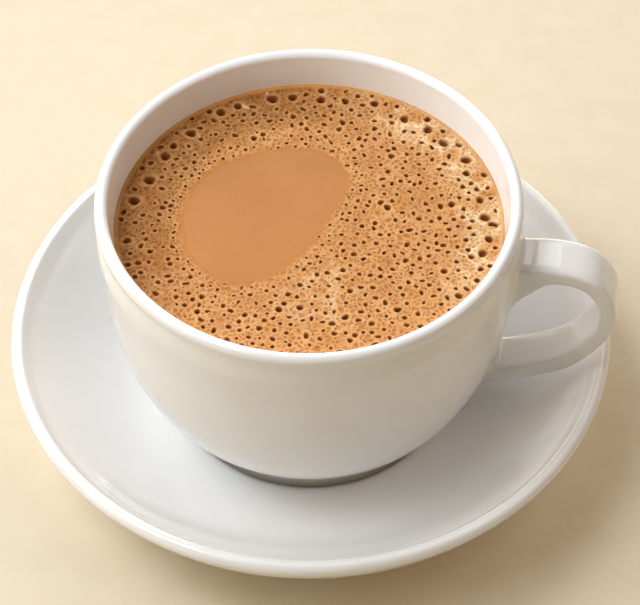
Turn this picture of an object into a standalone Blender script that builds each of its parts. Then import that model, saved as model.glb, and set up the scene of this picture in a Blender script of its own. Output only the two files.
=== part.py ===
"""Cup of irani chai: milky tea with a skin of froth, in a white cup on a deep saucer.

Run with: blender --background --python part.py

Units are metres and +Z is up. The origin is the centre of the saucer's foot, on the
surface that it stands on. The cup's handle points along +X.
"""

import math
import random

import bmesh
import bpy
from mathutils import Matrix, Vector

MM = 0.001

# Gap between pieces that rest on or fill each other, and the fineness of turned shapes.
GAP = 0.3 * MM
TURN_STEPS = 60
BODY_CURVE_STEPS = 2
RIM_STEPS = 6
MERGE_DISTANCE = 0.00001

# Saucer, as (radius, height) above the surface it stands on.
SAUCER_RADIUS = 72.0 * MM
SAUCER_LIP_ROUND = 1.8 * MM
SAUCER_LIP_HEIGHT = 26.6 * MM
SAUCER_WALL = 4.0 * MM
WELL_RADIUS = 36.0 * MM
WELL_HEIGHT = 5.5 * MM
SAUCER_FOOT_RADIUS = 42.0 * MM
SAUCER_FOOT_WIDTH = 3.5 * MM
SAUCER_FOOT_HEIGHT = 2.2 * MM
BOWL_POWER = 1.75

# Cup, as (radius, depth below the middle of the rolled rim).
RIM_RADIUS = 48.5 * MM
RIM_ROUND = 1.5 * MM
CUP_DEPTH = 65.2 * MM
BODY_OUTSIDE = [
    (48.2, 2.6), (48.7, 7.5), (48.0, 17.0), (47.2, 30.0), (44.8, 42.0), (39.8, 53.0), (32.8, 61.2),
]
BODY_INSIDE = [
    (44.7, 6.0), (43.8, 17.0), (43.0, 30.0), (40.5, 41.0), (35.1, 51.0), (27.5, 56.8), (16.0, 58.6),
]
FLOOR_DEPTH = 58.8 * MM
CUP_FOOT_RADIUS = 33.6 * MM
CUP_FOOT_NECK = 32.2 * MM
CUP_FOOT_WIDTH = 3.2 * MM
CUP_FOOT_HEIGHT = 2.9 * MM
CUP_BASE_DEPTH = 62.6 * MM
FOOT_ROUND = 0.7 * MM

# Handle: a flat strap in the XZ plane. Its middle runs through (radius, depth, size) points, with
# the size as a share of the strap's own.
HANDLE_THICKNESS = 4.2 * MM
HANDLE_WIDTH = 11.6 * MM
HANDLE_ROUTE = [
    (46.9, 13.6, 1.35), (50.2, 12.0, 1.1), (54.5, 11.2, 1.0), (60.5, 11.2, 1.0), (66.6, 14.4, 1.0),
    (69.8, 21.5, 1.0), (68.9, 29.4, 1.0), (62.4, 40.0, 1.0), (54.0, 45.6, 1.0), (46.5, 48.8, 1.0),
    (37.6, 51.4, 1.06),
]
HANDLE_RESOLUTION = 4
HANDLE_ROUND_STEPS = 2

# Drink: how deep its parts lie below the middle of the rim.
FROTH_TOP_DEPTH = 7.7 * MM
FROTH_THICKNESS = 1.3 * MM
FROTH_CREEP = 0.4 * MM
FROTH_CREEP_WIDTH = 1.8 * MM
PATCH_DROP = 0.3 * MM

# Bare patch in the froth, as points round it in the XY plane.
PATCH_OUTLINE = [
    (6.4, 14.5), (3.7, 1.3), (-1.5, -12.2), (-11.9, -21.4), (-23.8, -15.7),
    (-28.7, -1.5), (-25.0, 11.6), (-13.2, 20.1), (-1.0, 21.8),
]
PATCH_CENTRE = Vector((-12.0, 1.0)) * MM
PATCH_RESOLUTION = 3

# Burst bubbles in the froth.
BUBBLE_SEED = 7
BUBBLE_COUNT = 150
BUBBLE_SIDES = 7
BUBBLE_DEPTH = 0.8 * MM
SMALL_BUBBLE = (0.55 * MM, 0.9 * MM)
LARGE_BUBBLE = (1.1 * MM, 1.5 * MM)
LARGE_SHARE = 0.2
LARGE_SIDE = math.radians(75.0)
LARGE_SPREAD = math.radians(75.0)
LARGE_RING = 34.0 * MM
BUBBLE_SPACING = 0.6 * MM

# Height of the middle of the rim, which the cup's and the drink's depths are counted from.
RIM_HEIGHT = WELL_HEIGHT + GAP + CUP_DEPTH

GLAZE_COLOUR = (0.86, 0.83, 0.79, 1.0)
CHAI_COLOUR = (0.60, 0.27, 0.09, 1.0)
FROTH_COLOUR = (0.72, 0.38, 0.15, 1.0)


def clear_scene():
    """Remove every object, so that the script starts from nothing."""
    for obj in list(bpy.data.objects):
        bpy.data.objects.remove(obj, do_unlink=True)


def new_collection(name):
    """Make a collection in the scene."""
    collection = bpy.data.collections.new(name)
    bpy.context.scene.collection.children.link(collection)
    return collection


def new_material(name, colour, roughness, metallic=0.0):
    """Make a Principled BSDF material."""
    material = bpy.data.materials.new(name)
    material.use_nodes = True
    material.diffuse_color = colour
    shader = material.node_tree.nodes["Principled BSDF"]
    shader.inputs["Base Color"].default_value = colour
    shader.inputs["Roughness"].default_value = roughness
    shader.inputs["Metallic"].default_value = metallic
    return material


def arc(centre, radius, start, end, steps):
    """Points of an arc in a profile, with the angles in degrees from the +X side."""
    points = []
    for step in range(steps + 1):
        angle = math.radians(start + (end - start) * step / steps)
        points.append((centre[0] + radius * math.cos(angle), centre[1] + radius * math.sin(angle)))
    return points


def smooth_line(points, steps):
    """Points of a Catmull-Rom curve that runs through the given points."""
    ends = [Vector(points[0]) * 2 - Vector(points[1]), Vector(points[-1]) * 2 - Vector(points[-2])]
    knots = [ends[0]] + [Vector(point) for point in points] + [ends[1]]
    line = []
    for before, start, end, after in zip(knots, knots[1:], knots[2:], knots[3:]):
        for step in range(steps):
            t = step / steps
            line.append(0.5 * (
                2 * start + (end - before) * t
                + (2 * before - 5 * start + 4 * end - after) * t ** 2
                + (3 * start - before - 3 * end + after) * t ** 3
            ))
    line.append(knots[-2])
    return [tuple(point) for point in line]


def from_depths(points):
    """Turn (radius, depth below the rim) in millimetres into (radius, height) over the cup's foot."""
    return [(radius * MM, CUP_DEPTH - depth * MM) for radius, depth in points]


def turned(name, collection, profile, material):
    """Turn a profile round the Z axis. The profile runs down the shape's outer side."""
    mesh = bpy.data.meshes.new(name)
    vertices = [(radius, 0.0, height) for radius, height in profile]
    edges = [(index, index + 1) for index in range(len(vertices) - 1)]
    mesh.from_pydata(vertices, edges, [])
    obj = bpy.data.objects.new(name, mesh)
    collection.objects.link(obj)
    screw = obj.modifiers.new("turn", "SCREW")
    screw.axis = "Z"
    screw.angle = 2 * math.pi
    screw.steps = TURN_STEPS
    screw.render_steps = TURN_STEPS
    screw.use_merge_vertices = True
    screw.merge_threshold = MERGE_DISTANCE
    screw.use_smooth_shade = True
    mesh.materials.append(material)
    return obj


def as_tool(obj):
    """Hide an object that only cuts or joins."""
    obj.hide_render = True
    obj.display_type = "WIRE"
    return obj


def mesh_from_curve(obj, name, collection):
    """Replace a curve object by a closed mesh of the same shape."""
    bpy.context.view_layer.update()
    evaluated = obj.evaluated_get(bpy.context.evaluated_depsgraph_get())
    mesh = bpy.data.meshes.new_from_object(evaluated)
    shape = bmesh.new()
    shape.from_mesh(mesh)
    bmesh.ops.remove_doubles(shape, verts=shape.verts, dist=MERGE_DISTANCE)
    bmesh.ops.recalc_face_normals(shape, faces=shape.faces)
    shape.to_mesh(mesh)
    shape.free()
    solid = bpy.data.objects.new(name, mesh)
    solid.matrix_world = obj.matrix_world.copy()
    collection.objects.link(solid)
    bpy.data.objects.remove(obj, do_unlink=True)
    return solid


def combine(obj, tool, operation):
    """Add a live Boolean with a tool object."""
    boolean = obj.modifiers.new(tool.name, "BOOLEAN")
    boolean.operation = operation
    boolean.object = tool
    boolean.solver = "EXACT"


def saucer_inside(radius):
    """Height of the saucer's upper surface at a radius outside the well."""
    lip_radius = SAUCER_RADIUS - SAUCER_LIP_ROUND
    reach = max(0.0, (radius - WELL_RADIUS) / (lip_radius - WELL_RADIUS))
    return WELL_HEIGHT + (SAUCER_LIP_HEIGHT + SAUCER_LIP_ROUND - WELL_HEIGHT) * reach ** BOWL_POWER


def saucer_profile():
    """Upper surface from the middle out, over the lip, and back along the underside."""
    lip_radius = SAUCER_RADIUS - SAUCER_LIP_ROUND
    reach = lip_radius - WELL_RADIUS
    bowl_stations = [WELL_RADIUS + reach * share for share in (0, 0.2, 0.4, 0.6, 0.78, 0.92)]
    inside = [(radius, saucer_inside(radius)) for radius in bowl_stations]
    lip = arc((lip_radius, SAUCER_LIP_HEIGHT), SAUCER_LIP_ROUND, 120, -50, 6)
    under_stations = [radius for radius in reversed(bowl_stations) if radius > SAUCER_FOOT_RADIUS]
    underside = []
    for radius in under_stations:
        slope = BOWL_POWER * (saucer_inside(radius) - WELL_HEIGHT) / (radius - WELL_RADIUS)
        normal = Vector((slope, -1.0)).normalized() * SAUCER_WALL
        underside.append((radius + normal.x, saucer_inside(radius) + normal.y))
    foot_inside = SAUCER_FOOT_RADIUS - SAUCER_FOOT_WIDTH
    foot = [
        (SAUCER_FOOT_RADIUS + FOOT_ROUND, SAUCER_FOOT_HEIGHT),
        (SAUCER_FOOT_RADIUS, FOOT_ROUND),
        (SAUCER_FOOT_RADIUS - FOOT_ROUND, 0.0),
        (foot_inside + FOOT_ROUND, 0.0),
        (foot_inside, FOOT_ROUND),
        (foot_inside - FOOT_ROUND, WELL_HEIGHT - SAUCER_WALL),
    ]
    upper = [(0.0, WELL_HEIGHT)] + inside + lip
    return upper + underside + foot + [(0.0, WELL_HEIGHT - SAUCER_WALL)]


def cup_inside():
    """Inner surface of the cup, from the middle of its floor up to the rim."""
    wall = from_depths(BODY_INSIDE)
    return [(0.0, CUP_DEPTH - FLOOR_DEPTH)] + list(reversed(wall))


def cup_profile():
    """Inner floor, up the wall, over the rolled rim, down the outside and across the base."""
    rim = arc((RIM_RADIUS - RIM_ROUND, CUP_DEPTH), RIM_ROUND, 180, -20, RIM_STEPS)
    outside = from_depths(smooth_line(BODY_OUTSIDE, BODY_CURVE_STEPS))
    foot_inside = CUP_FOOT_RADIUS - CUP_FOOT_WIDTH
    base = CUP_DEPTH - CUP_BASE_DEPTH
    foot = [
        (CUP_FOOT_NECK, CUP_FOOT_HEIGHT),
        (CUP_FOOT_RADIUS, FOOT_ROUND),
        (CUP_FOOT_RADIUS - FOOT_ROUND, 0.0),
        (foot_inside + FOOT_ROUND, 0.0),
        (foot_inside, FOOT_ROUND),
        (foot_inside - FOOT_ROUND, base),
    ]
    return cup_inside() + rim + outside + foot + [(0.0, base)]


def inner_radius(depth):
    """Radius of the cup's inner wall at a depth below the middle of the rim."""
    height = CUP_DEPTH - depth
    wall = cup_inside()
    for (low_radius, low), (high_radius, high) in zip(wall, wall[1:]):
        if low <= height <= high and high > low:
            return low_radius + (high_radius - low_radius) * (height - low) / (high - low)
    return RIM_RADIUS - 2 * RIM_ROUND


def chai_profile():
    """Flat top, then down the cup's inner wall with a gap, to the middle of the floor."""
    top_depth = FROTH_TOP_DEPTH + FROTH_THICKNESS + GAP
    top = CUP_DEPTH - top_depth
    side = [(inner_radius(top_depth) - GAP, top)]
    wall = list(reversed(cup_inside()))
    for above, point, below in zip(wall, wall[1:], wall[2:]):
        if point[1] > top - MM:
            continue
        along = (Vector(below) - Vector(above)).normalized()
        inward = Vector((along.y, -along.x)) * GAP
        side.append((point[0] + inward.x, point[1] + inward.y))
    return [(0.0, top)] + side + [(0.0, CUP_DEPTH - FLOOR_DEPTH + GAP)]


def froth_profile():
    """Froth skin, creeping up a little where it meets the wall."""
    top = CUP_DEPTH - FROTH_TOP_DEPTH
    bottom = top - FROTH_THICKNESS
    edge = inner_radius(FROTH_TOP_DEPTH) - GAP
    foot = inner_radius(FROTH_TOP_DEPTH + FROTH_THICKNESS) - GAP
    return [
        (0.0, top),
        (edge - FROTH_CREEP_WIDTH, top),
        (edge - 0.3 * FROTH_CREEP_WIDTH, top + 0.4 * FROTH_CREEP),
        (edge, top + FROTH_CREEP),
        (foot, bottom),
        (0.0, bottom),
    ]


def handle_strap(tools):
    """The strap handle, its ends sunk in the cup's wall."""
    curve = bpy.data.curves.new("handle_curve", "CURVE")
    curve.dimensions = "3D"
    curve.fill_mode = "FULL"
    curve.twist_mode = "Z_UP"
    curve.use_fill_caps = True
    curve.resolution_u = HANDLE_RESOLUTION
    curve.bevel_depth = HANDLE_THICKNESS / 2
    curve.bevel_resolution = HANDLE_ROUND_STEPS
    curve.extrude = (HANDLE_WIDTH - HANDLE_THICKNESS) / 2
    spline = curve.splines.new("BEZIER")
    spline.bezier_points.add(len(HANDLE_ROUTE) - 1)
    for point, (radius, depth, size) in zip(spline.bezier_points, HANDLE_ROUTE):
        point.co = (radius * MM, CUP_DEPTH - depth * MM, 0.0)
        point.radius = size
        point.handle_left_type = "AUTO"
        point.handle_right_type = "AUTO"
    guide = bpy.data.objects.new("handle_guide", curve)
    guide.rotation_euler = (math.radians(90.0), 0.0, 0.0)
    guide.location = (0.0, 0.0, WELL_HEIGHT + GAP)
    tools.objects.link(guide)
    return as_tool(mesh_from_curve(guide, "handle_strap", tools))


def patch_prism(name, tools, grow, bottom, top):
    """The bare patch's outline, moved outwards by grow, as an upright prism."""
    curve = bpy.data.curves.new(name, "CURVE")
    curve.dimensions = "2D"
    curve.fill_mode = "BOTH"
    curve.extrude = (top - bottom) / 2
    curve.resolution_u = PATCH_RESOLUTION
    spline = curve.splines.new("BEZIER")
    spline.bezier_points.add(len(PATCH_OUTLINE) - 1)
    spline.use_cyclic_u = True
    for point, (x, y) in zip(spline.bezier_points, PATCH_OUTLINE):
        place = Vector((x, y)) * MM
        place += (place - PATCH_CENTRE).normalized() * grow
        point.co = (place.x, place.y, 0.0)
        point.handle_left_type = "AUTO"
        point.handle_right_type = "AUTO"
    guide = bpy.data.objects.new(name + "_guide", curve)
    guide.location = (0.0, 0.0, (top + bottom) / 2)
    tools.objects.link(guide)
    return as_tool(mesh_from_curve(guide, name, tools))


def patch_reach(point):
    """How far a point lies from the patch's centre, as a share of the outline's distance there."""
    away = point - PATCH_CENTRE
    angles = []
    for x, y in PATCH_OUTLINE:
        corner = Vector((x, y)) * MM - PATCH_CENTRE
        turn = math.atan2(away.cross(corner), away.dot(corner))
        angles.append((abs(turn), corner.length))
    (near_turn, near), (far_turn, far) = sorted(angles)[:2]
    outline = (near * far_turn + far * near_turn) / (near_turn + far_turn)
    return away.length / outline


def bubble_places():
    """Places and radii of the burst bubbles, large ones near the wall on one side."""
    draw = random.Random(BUBBLE_SEED)
    limit = inner_radius(FROTH_TOP_DEPTH) - GAP - FROTH_CREEP_WIDTH
    bubbles = []
    while len(bubbles) < BUBBLE_COUNT:
        large = len(bubbles) < BUBBLE_COUNT * LARGE_SHARE
        radius = draw.uniform(*(LARGE_BUBBLE if large else SMALL_BUBBLE))
        furthest = limit - radius - BUBBLE_SPACING
        nearest = LARGE_RING if large else 0.0
        distance = math.sqrt(draw.uniform(nearest ** 2, furthest ** 2))
        angle = draw.uniform(-math.pi, math.pi)
        if large:
            angle = LARGE_SIDE + LARGE_SPREAD * draw.uniform(-1.0, 1.0)
        place = Vector((math.cos(angle), math.sin(angle))) * distance
        if patch_reach(place) < 1.0 + (radius + 3 * BUBBLE_SPACING) / PATCH_CENTRE.length:
            continue
        if all((place - other).length > radius + size + BUBBLE_SPACING for other, size in bubbles):
            bubbles.append((place, radius))
    return bubbles


def bubble_cutters(tools):
    """All the bubbles' hollows in one mesh, each a shallow tapered cup."""
    top = RIM_HEIGHT - FROTH_TOP_DEPTH
    shape = bmesh.new()
    for place, radius in bubble_places():
        middle = Vector((place.x, place.y, top))
        bmesh.ops.create_cone(
            shape,
            cap_ends=True,
            segments=BUBBLE_SIDES,
            radius1=0.5 * radius,
            radius2=1.5 * radius,
            depth=2 * BUBBLE_DEPTH,
            matrix=Matrix.Translation(middle),
        )
    mesh = bpy.data.meshes.new("bubbles")
    shape.to_mesh(mesh)
    shape.free()
    obj = bpy.data.objects.new("bubbles", mesh)
    tools.objects.link(obj)
    return as_tool(obj)


def make_saucer(pieces, glaze):
    """The deep saucer on its foot ring."""
    return turned("saucer", pieces, saucer_profile(), glaze)


def make_cup(pieces, tools, glaze):
    """The cup and its handle, one solid."""
    cup = turned("cup", pieces, cup_profile(), glaze)
    cup.location.z = WELL_HEIGHT + GAP
    combine(cup, handle_strap(tools), "UNION")
    return cup


def make_chai(pieces, tools, material):
    """The tea, which stands up through the froth at the bare patch."""
    chai = turned("chai", pieces, chai_profile(), material)
    chai.location.z = WELL_HEIGHT + GAP
    froth_top = RIM_HEIGHT - FROTH_TOP_DEPTH
    sunk = froth_top - 2 * FROTH_THICKNESS
    combine(chai, patch_prism("patch_boss", tools, 0.0, sunk, froth_top - PATCH_DROP), "UNION")
    return chai


def make_froth(pieces, tools, material):
    """The froth skin, open at the bare patch and pitted by burst bubbles."""
    froth = turned("froth", pieces, froth_profile(), material)
    froth.location.z = WELL_HEIGHT + GAP
    froth_top = RIM_HEIGHT - FROTH_TOP_DEPTH
    hole = patch_prism("patch_hole", tools, 1.2 * GAP, froth_top - 2 * FROTH_THICKNESS, froth_top + MM)
    combine(froth, hole, "DIFFERENCE")
    combine(froth, bubble_cutters(tools), "DIFFERENCE")
    return froth


def main():
    """Build the cup of chai."""
    clear_scene()
    pieces = new_collection("irani_chai")
    tools = new_collection("tools")
    cup_glaze = new_material("cup_glaze", GLAZE_COLOUR, 0.12)
    saucer_glaze = new_material("saucer_glaze", GLAZE_COLOUR, 0.12)
    tea = new_material("chai", CHAI_COLOUR, 0.18)
    foam = new_material("froth", FROTH_COLOUR, 0.35)
    middle = bpy.data.objects.new("irani_chai", None)
    pieces.objects.link(middle)
    made = [
        make_saucer(pieces, saucer_glaze),
        make_cup(pieces, tools, cup_glaze),
        make_chai(pieces, tools, tea),
        make_froth(pieces, tools, foam),
    ]
    for obj in made:
        obj.parent = middle


main()
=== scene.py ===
"""A cup of irani chai with its froth, in a white cup on a deep saucer."""

import logging
import math
import random
from collections.abc import Callable, Iterable, Sequence
from dataclasses import dataclass, field
from enum import Enum

import bmesh
import bpy
from mathutils import Matrix, Vector, noise
from mathutils.geometry import delaunay_2d_cdt


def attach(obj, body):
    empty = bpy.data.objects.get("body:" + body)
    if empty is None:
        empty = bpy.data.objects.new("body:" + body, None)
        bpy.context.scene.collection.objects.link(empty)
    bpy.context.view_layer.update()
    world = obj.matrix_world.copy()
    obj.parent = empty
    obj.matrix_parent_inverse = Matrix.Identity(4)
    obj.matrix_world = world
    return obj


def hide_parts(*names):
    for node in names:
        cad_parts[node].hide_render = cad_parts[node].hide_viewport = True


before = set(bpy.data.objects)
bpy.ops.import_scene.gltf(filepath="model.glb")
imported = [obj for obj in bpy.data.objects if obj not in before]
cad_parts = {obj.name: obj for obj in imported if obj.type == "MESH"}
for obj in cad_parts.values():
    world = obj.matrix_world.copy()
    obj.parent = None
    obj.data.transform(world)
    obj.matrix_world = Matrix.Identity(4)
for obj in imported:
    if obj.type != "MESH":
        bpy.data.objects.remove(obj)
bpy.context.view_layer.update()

MM = 0.001
ROOT = "root"

# Turned shapes: sides of a ring, levels of smoothing, and passes that fit a cage to its profile.
RING_SIDES = 60
SMOOTH_LEVELS = 2
CAGE_PASSES = 12

# Pieces of a flowing line between two of its places.
LINE_STEPS = 24

# An operator's rotation turns the other way where there is no window.
OPERATOR_TURN = -1.0

Colour = tuple[float, float, float]
Point = tuple[float, float]
Span = tuple[float, float]

log = logging.getLogger("irani_chai")


class Slot(Enum):
    """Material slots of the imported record."""

    SAUCER = "saucer_glaze"
    CUP = "cup_glaze"
    CHAI = "chai"
    FROTH = "froth"


class Grain(Enum):
    """Kinds of Voronoi reading that the froth's fine cells use."""

    MIDDLE = "F1"
    WALLS = "DISTANCE_TO_EDGE"


def polar(angle: float, distance: float = 1.0) -> Vector:
    """Place in the plane at an angle and a distance from the middle."""
    return Vector((math.cos(angle), math.sin(angle))) * distance


def smooth(low: float, high: float, value: float) -> float:
    """Smooth step from 0 at low to 1 at high.

    Args:
        low: Value where the step starts.
        high: Value where the step is complete.
        value: Value to look up.

    Returns:
        A share from 0 to 1.
    """
    share = min(1.0, max(0.0, (value - low) / (high - low)))
    return share * share * (3.0 - 2.0 * share)


def flowing_line(points: Sequence[Point], steps: int, closed: bool = False) -> list[Vector]:
    """Points of a Catmull-Rom curve that runs through the given points.

    Args:
        points: Places that the curve runs through.
        steps: Pieces between two of them.
        closed: Whether the curve comes back to its start.

    Returns:
        The curve's points, without the last one where it is closed.
    """
    knots = [Vector(point) for point in points]
    if closed:
        knots = [knots[-1], *knots, knots[0], knots[1]]
    else:
        knots = [knots[0] * 2 - knots[1], *knots, knots[-1] * 2 - knots[-2]]
    line = []
    for before, start, end, after in zip(knots, knots[1:], knots[2:], knots[3:]):
        for step in range(steps):
            t = step / steps
            line.append(0.5 * (
                2 * start + (end - before) * t
                + (2 * before - 5 * start + 4 * end - after) * t ** 2
                + (3 * start - before - 3 * end + after) * t ** 3
            ))
    return line if closed else [*line, knots[-2]]


def radii_at(line: Sequence[Point], depths: Iterable[float]) -> list[Point]:
    """Stations of a curve at chosen depths.

    Args:
        line: Points of (radius, depth) that the curve runs through, its depth growing.
        depths: Depths to read it at.

    Returns:
        A (radius, depth) for each depth.
    """
    curve = flowing_line(line, LINE_STEPS)
    stations = []
    for depth in depths:
        for above, below in zip(curve, curve[1:]):
            if above.y <= depth <= below.y:
                share = (depth - above.y) / (below.y - above.y)
                stations.append((above.x + (below.x - above.x) * share, depth))
                break
    return stations


def arc(centre: Point, radius: float, start: float, end: float, steps: int) -> list[Point]:
    """Points of an arc in a profile.

    Args:
        centre: Middle of the arc.
        radius: Its radius.
        start: First angle, in degrees from the +X side.
        end: Last angle.
        steps: Pieces between them.

    Returns:
        The arc's points, both ends among them.
    """
    angles = [math.radians(start + (end - start) * step / steps) for step in range(steps + 1)]
    return [
        (centre[0] + radius * math.cos(angle), centre[1] + radius * math.sin(angle)) for angle in angles
    ]


def cage_for(points: Sequence[Sequence[float]]) -> list[Vector]:
    """Cage points whose smoothed line runs through the given points.

    Args:
        points: Places that the smoothed line should pass.

    Returns:
        As many cage points.
    """
    wanted = [Vector(point) for point in points]
    cage = [point.copy() for point in wanted]
    for _ in range(CAGE_PASSES):
        for index in range(1, len(cage) - 1):
            cage[index] = (6 * wanted[index] - cage[index - 1] - cage[index + 1]) / 4
    return cage


# Materials


def _operator(kind: str, swapped: bool = False) -> Callable[["Wire", "Wire | float"], "Wire"]:
    """Make one of Wire's operators.

    Args:
        kind: The Math node's operation.
        swapped: Whether the wire stands on the right.

    Returns:
        A method that adds the node.
    """

    def operate(wire: "Wire", other: "Wire | float") -> "Wire":
        """Add the Math node."""
        values = (other, wire) if swapped else (wire, other)
        return wire.board.add("ShaderNodeMath", {"operation": kind}, dict(enumerate(values)))

    return operate


class Wire:
    """A shader value: Python's operators on it add Math nodes."""

    __add__, __radd__ = _operator("ADD"), _operator("ADD", True)
    __sub__, __rsub__ = _operator("SUBTRACT"), _operator("SUBTRACT", True)
    __mul__, __rmul__ = _operator("MULTIPLY"), _operator("MULTIPLY", True)

    def __init__(self, board: "Board", socket: bpy.types.NodeSocket) -> None:
        """Wrap a node's output socket."""
        self.board = board
        self.socket = socket

    def step(self, low: float, high: float) -> "Wire":
        """Smooth step from 0 at low to 1 at high."""
        inputs = {"Value": self, "From Min": low, "From Max": high}
        return self.board.add("ShaderNodeMapRange", {"interpolation_type": "SMOOTHSTEP"}, inputs)

    def above(self, low: float) -> "Wire":
        """The value squeezed to run from low to 1."""
        return low + (1.0 - low) * self

    def twin(self, output: str) -> "Wire":
        """Another output of the same node."""
        return Wire(self.board, self.socket.node.outputs[output])


class Board:
    """The node tree of one material, with its Principled shader."""

    def __init__(self, name: str) -> None:
        """Start a material with nothing but its Principled shader."""
        self.material = bpy.data.materials.new(name)
        self.material.use_nodes = True
        self.tree = self.material.node_tree
        self.shader = self.tree.nodes["Principled BSDF"]

    def add(
        self,
        kind: str,
        settings: dict[str, object],
        inputs: dict[str | int, object],
        output: str | int = 0,
    ) -> Wire:
        """Add a node.

        Args:
            kind: The node's type.
            settings: Its settings, set before its sockets.
            inputs: A value or a wire for each socket, by name or number.
            output: The output that is wanted.

        Returns:
            That output as a wire.
        """
        node = self.tree.nodes.new(kind)
        for key, value in settings.items():
            setattr(node, key, value)
        for key, value in inputs.items():
            self._feed(node.inputs[key], value)
        return Wire(self, node.outputs[output])

    def _feed(self, socket: bpy.types.NodeSocket, value: object) -> None:
        """Link a wire to a socket, or set the socket's own value."""
        if isinstance(value, Wire):
            self.tree.links.new(value.socket, socket)
        elif isinstance(value, tuple) and len(value) == 3 and socket.type == "RGBA":
            socket.default_value = (*value, 1.0)
        else:
            socket.default_value = value

    def place(self) -> Wire:
        """Object coordinates of the surface."""
        return self.add("ShaderNodeTexCoord", {}, {}, "Object")

    def radius(self, place: Wire) -> Wire:
        """Distance from the Z axis."""
        flat = self._vector("MULTIPLY", {0: place, 1: (1.0, 1.0, 0.0)})
        return self._vector("LENGTH", {0: flat}, "Value")

    def _vector(self, kind: str, inputs: dict[str | int, object], output: str | int = 0) -> Wire:
        """Add a Vector Math node."""
        return self.add("ShaderNodeVectorMath", {"operation": kind}, inputs, output)

    def noise(self, place: Wire, size: float, detail: float = 2.0, output: str = "Fac") -> Wire:
        """Soft noise whose blobs have about this size, in metres."""
        inputs = {"Vector": place, "Scale": 1.0 / size, "Detail": detail}
        return self.add("ShaderNodeTexNoise", {}, inputs, output)

    def cells(self, place: Wire, size: float, grain: Grain) -> Wire:
        """Distance reading of cells with about this size, in metres."""
        inputs = {"Vector": place, "Scale": 1.0 / size}
        return self.add("ShaderNodeTexVoronoi", {"feature": grain.value}, inputs, "Distance")

    def blend(self, share: Wire | float, under: Wire | Colour, over: Wire | Colour) -> Wire:
        """Mix two colours: under where the share is 0, over where it is 1."""
        return self.add("ShaderNodeMix", {"data_type": "RGBA"}, {0: share, 6: under, 7: over}, 2)

    def stir(self, place: Wire, size: float, reach: float) -> Wire:
        """Coordinates pushed about by soft noise.

        Args:
            place: The coordinates.
            size: Size of the noise's blobs, in metres.
            reach: How far a place is pushed, in metres.

        Returns:
            The new coordinates.
        """
        push = self.noise(place, size, 1.0, "Color")
        middle = self._vector("SUBTRACT", {0: push, 1: (0.5, 0.5, 0.5)})
        scaled = self._vector("SCALE", {0: middle, "Scale": 2 * reach})
        return self._vector("ADD", {0: place, 1: scaled})

    def bump(self, height: Wire, depth: float, strength: float) -> Wire:
        """Normal from a height that runs from 0 to 1 over this depth, in metres."""
        inputs = {"Height": height, "Distance": depth, "Strength": strength}
        return self.add("ShaderNodeBump", {}, inputs)

    def finish(self, **inputs: object) -> None:
        """Feed the Principled shader's sockets, their names written with underscores."""
        for key, value in inputs.items():
            self._feed(self.shader.inputs[key.replace("_", " ").title().replace("Ior", "IOR")], value)


@dataclass(frozen=True)
class Patches:
    """Soft patches of noise: 0 between them and 1 in them.

    Attributes:
        size: About how large they are, in millimetres.
        low: Noise where they start.
        high: Noise where they are full.
        detail: Detail of the noise.
    """

    size: float
    low: float
    high: float
    detail: float = 2.0

    def on(self, board: Board, place: Wire) -> Wire:
        """Lay the patches over a material."""
        return board.noise(place, self.size * MM, self.detail).step(self.low, self.high)


class Finish:
    """A material's recipe."""

    def make(self, name: str) -> bpy.types.Material:
        """Build the material.

        Args:
            name: The material's name.

        Returns:
            The material.
        """
        board = Board(name)
        self.paint(board, board.place())
        return board.material

    def paint(self, board: Board, place: Wire) -> None:
        """Lay the recipe's nodes over object coordinates, and feed the shader."""
        raise NotImplementedError


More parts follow.
